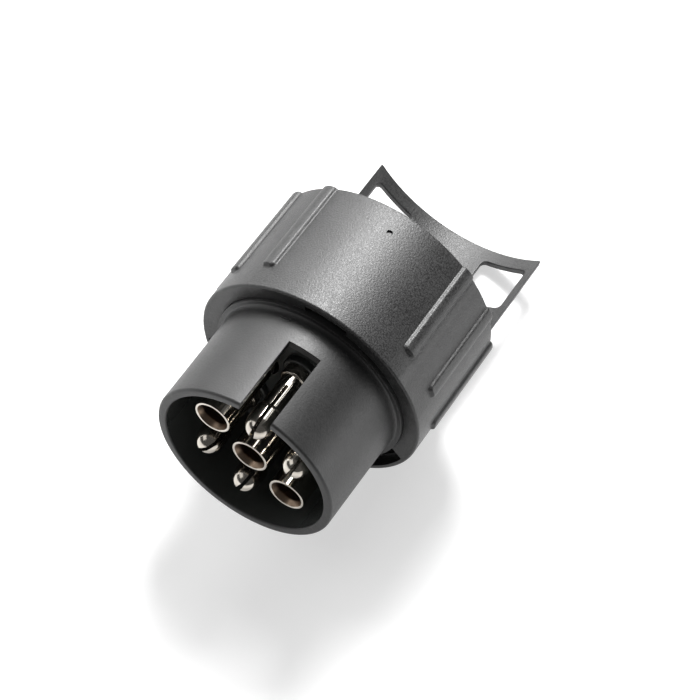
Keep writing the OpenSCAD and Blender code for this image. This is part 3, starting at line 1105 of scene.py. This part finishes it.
def makeSocketContact(node, look):
    front, rear = contactLow.y, contactHigh.y
    radius, bore = look["radius"], look["bore"]
    boreDepth, tipDepth = look["boreDepth"]
    tail, tailLength = look["tail"]
    bm = bmesh.new()
    turnProfile(bm, softened([
        (0, rear - tipDepth, 0), (bore, rear - boreDepth, 0.3), (bore, rear, 0.2),
        (radius, rear, 0.3), (radius, front + tailLength, 0.2),
        (tail, front + tailLength, 0), (tail, front, 0.2), (0, front, 0),
    ], 4), evenAngles(48), nodeAxis(node))
    contact = meshPiece("socketContact" + node[-2:], bm)
    finishPiece(contact, nickelPlate, [node], 38)


socketGasket = {"clear": 0.9, "groove": (0.5, 1, 0.35)}  # groove: half widths and depth


def makeGasket(node, look):
    low, high = nodeBox(node)
    outer, inner, front, back = high.x, blockHigh.x + look["clear"], low.y, high.y
    middle = (outer + inner) / 2
    bottom, top, depth = look["groove"]
    bm = bmesh.new()
    # two low sealing lips stand on the flat ring
    turnProfile(bm, softened([
        (inner, front, 0.1), (outer, front, 0.1), (outer, back, 0.25), (middle + top, back, 0.25),
        (middle + bottom, back - depth, 0.3), (middle - bottom, back - depth, 0.3),
        (middle - top, back, 0.25), (inner, back, 0.25),
    ], 4), evenAngles(160))
    gasket = meshPiece("socketGasket", bm)
    finishPiece(gasket, rubberBlack, [node])


clampScrew = {
    "shank": 1,
    "thread": (0.16, 0.12, 0.4),  # depth, half width of a crest, pitch
    "threadEnds": (0.5, 0.6),  # plain lengths at the tip and under the head
    "headSide": 0.75,
    "recess": (0.25, 1.2, 0.8),
}


def makeScrews(node, look):
    low, high = screwLow, screwHigh
    head, seat, shank = screwHead["radius"], screwSeat, look["shank"]
    threadDepth, crest, pitch = look["thread"]
    plainTip, plainTop = look["threadEnds"]
    root = shank - threadDepth
    bm = bmesh.new()
    for side in (-1, 1):
        # thread crests below the head, each a little ring
        thread = [(0, low.y), (0.5, low.y)]
        y = low.y + plainTip
        while y < seat - plainTop:
            thread += [(root, y), (shank, y + crest), (root, y + 2 * crest)]
            y += pitch
        dome = softened([
            (root, seat - 0.3, 0), (shank, seat, 0), (head, seat, 0.15),
            (head, seat + look["headSide"], 0.5), (head * 0.62, high.y, 0.6), (0, high.y, 0),
        ], 4)
        turnProfile(bm, thread + dome, evenAngles(48), (side * screwAt, 0))
    screws = meshPiece("clampScrews", bm)
    halfSlot, reach, depth = look["recess"]
    bm = bmesh.new()
    for side in (-1, 1):
        x = side * screwAt
        cross = [
            (halfSlot, halfSlot), (halfSlot, reach), (-halfSlot, reach), (-halfSlot, halfSlot),
            (-reach, halfSlot), (-reach, -halfSlot), (-halfSlot, -halfSlot), (-halfSlot, -reach),
            (halfSlot, -reach), (halfSlot, -halfSlot), (reach, -halfSlot), (reach, halfSlot),
        ]
        prismInto(bm, cross, high.y - depth, high.y + 1, lambda a, b, y: (x + a, y, b))
    combine(screws, meshPiece("crossRecess", bm), "DIFFERENCE")
    finishPiece(screws, screwZinc, [node])


makeInsertFlange(insertFlange)
makeContactBlock(contactBlock)
for node in socketNodes:
    makeSocketContact(node, socketContact)
makeGasket("socket_gasket", socketGasket)
makeScrews("clamp_screws", clampScrew)


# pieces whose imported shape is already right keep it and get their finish

for node, material in (("link_board", boardGreen), ("shell_seal", rubberBlack)):
    part = frame["nodes"][node]
    for k in range(len(part.material_slots)):
        part.material_slots[k].material = material
print("carried-over pieces finished")


# pale lightbox floor and soft studio light

studio = {
    "floorTone": "#b8b8b8",
    "floorFibre": "#c4c4c4",
    "floorReach": 2500,  # mm
    "floorGlow": 0.55,
    "world": ("#ffffff", 0.11),
    # name: direction from the drum, distance (m), size (m), power (W)
    "softboxes": {
        "backTop": ((-0.3, 0.5, 0.8), 0.5, (0.16, 0.16), 4.7),
        "topWide": ((-0.1, 0.5, 0.86), 0.5, (0.34, 0.3), 1.1),
        "backLeft": ((-0.75, 0.5, 0.42), 0.7, (0.4, 0.3), 2.5),
        "right": ((0.93, 0.35, 0.08), 0.7, (0.3, 0.25), 1.5),
        "left": ((-0.95, -0.1, 0.3), 0.9, (0.4, 0.5), 1.1),
        "frontLeft": ((-0.6, -0.5, 0.62), 0.9, (0.5, 0.4), 0.7),
    },
}


def layFloor(look):
    material = newMaterial("palePaper")
    place = addNode(material, "ShaderNodeTexCoord").outputs["Object"]
    fibre = addNode(
        material, "ShaderNodeTexNoise", {"Scale": perMetre(1.5), "Detail": 3}, {"Vector": place}
    )
    tone = addNode(
        material, "ShaderNodeMix",
        {"data_type": "RGBA", 6: hexColour(look["floorTone"]), 7: hexColour(look["floorFibre"])},
        {0: fibre.outputs[0]},
    )
    shader = addNode(
        material, "ShaderNodeBsdfPrincipled",
        {
            "Roughness": 0.9, "Emission Color": hexColour("#ffffff"),
            "Emission Strength": look["floorGlow"],
        },
        {"Base Color": tone.outputs[2]},
    )
    closeMaterial(material, shader)
    bm = bmesh.new()
    level, reach = cadBounds[0][2] / mm, look["floorReach"]
    bm.faces.new(
        [
            bm.verts.new((x, y, level))
            for x, y in ((-reach, -reach), (reach, -reach), (reach, reach), (-reach, reach))
        ]
    )
    floor = meshPiece("floor", bm)
    floor.data.materials.append(material)


def hangLights(look):
    target = drumFront + Vector((0, 0.012, 0))
    for name, (direction, distance, size, power) in look["softboxes"].items():
        light = bpy.data.lights.new(name, "AREA")
        light.shape, light.size, light.size_y, light.energy = "RECTANGLE", size[0], size[1], power
        lamp = bpy.data.objects.new(name, light)
        bpy.context.scene.collection.objects.link(lamp)
        direction = Vector(direction).normalized()
        lamp.location = target + direction * distance
        lamp.rotation_euler = direction.to_track_quat("Z", "Y").to_euler()
    world = bpy.data.worlds.new("studio")
    world.use_nodes = True
    back = world.node_tree.nodes["Background"]
    back.inputs[0].default_value = hexColour(look["world"][0])
    back.inputs[1].default_value = look["world"][1]
    bpy.context.scene.world = world
    bpy.context.scene.view_settings.view_transform = "Standard"


layFloor(studio)
hangLights(studio)
print("studio lit")
